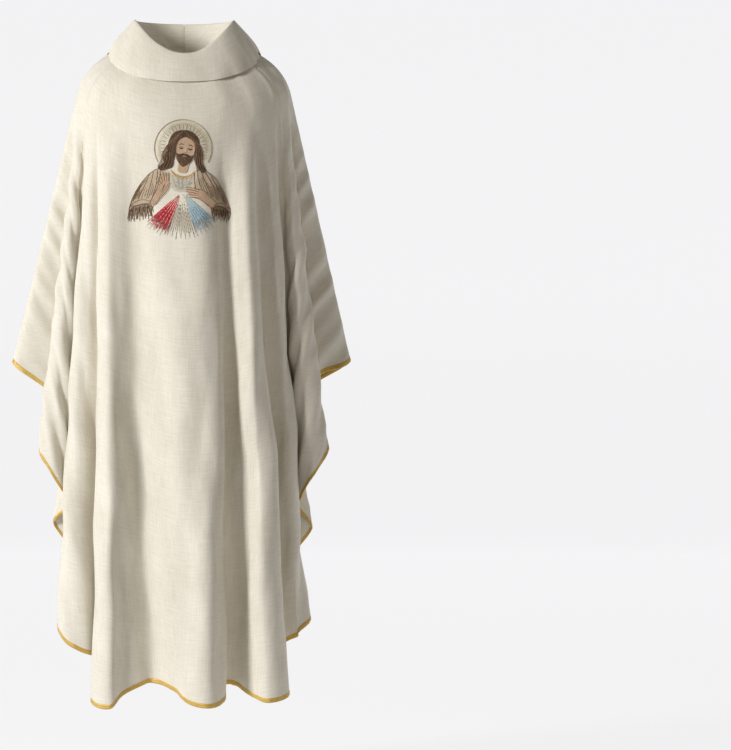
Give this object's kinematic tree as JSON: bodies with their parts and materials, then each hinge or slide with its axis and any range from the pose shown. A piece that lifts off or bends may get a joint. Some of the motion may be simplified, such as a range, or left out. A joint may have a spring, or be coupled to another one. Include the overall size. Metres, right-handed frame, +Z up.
{
  "type": "chasuble",
  "caption": "Draped Gothic chasuble in cream cloth with a turned-down roll collar, gold-bound zigzag hem and embroidery on front and back.",
  "frame": {"origin": "middle of the neck, level with the top of the shoulders, where the wearer or dress form carries the garment", "axes": "+Z up along the garment's length, the front faces -Y, +X to the right as seen from the front"},
  "size_m": [0.679, 0.4319, 1.3661],
  "materials": {
    "cream_cloth": "plain linen-like weave, matt",
    "gold_braid": "satin woven gold",
    "stiffening": "matt bonded",
    "neck_tape": "twill tape",
    "dark_thread": "thread",
    "pale_gold_thread": "satin thread",
    "gold_thread": "satin thread",
    "beige_thread": "thread",
    "red_thread": "satin thread",
    "blue_thread": "satin thread",
    "brown_thread": "thread",
    "skin_thread": "thread"
  },
  "bodies": {
    "root": {"front_panel": "cream_cloth", "back_panel": "cream_cloth", "left_shoulder_seam": "cream_cloth", "right_shoulder_seam": "cream_cloth", "collar_fall": "cream_cloth", "collar_stand": "cream_cloth", "collar_back_seam": "cream_cloth", "front_hem_braid": "gold_braid", "back_hem_braid": "gold_braid", "collar_interfacing": "stiffening", "neck_tape": "neck_tape", "neck_tack": "dark_thread", "halo": "pale_gold_thread", "neckline_trim": "gold_thread", "robe_right_side": "beige_thread", "robe_left_side": "beige_thread", "tunic": "beige_thread", "pale_rays": "beige_thread", "nose": "beige_thread", "red_rays": "red_thread", "blue_rays": "blue_thread", "hair": "brown_thread", "beard": "brown_thread", "face": "skin_thread", "blessing_hand": "skin_thread", "heart_hand": "skin_thread", "right_eye": "dark_thread", "left_eye": "dark_thread", "ornament_cross": "gold_thread", "ornament_stem": "gold_thread", "ornament_left_scroll": "gold_thread", "ornament_right_scroll": "gold_thread", "ornament_left_lower_scroll": "gold_thread", "ornament_right_lower_scroll": "gold_thread", "ornament_left_leaf": "gold_thread", "ornament_right_leaf": "gold_thread", "ornament_pendant": "gold_thread"}
  },
  "joints": []
}
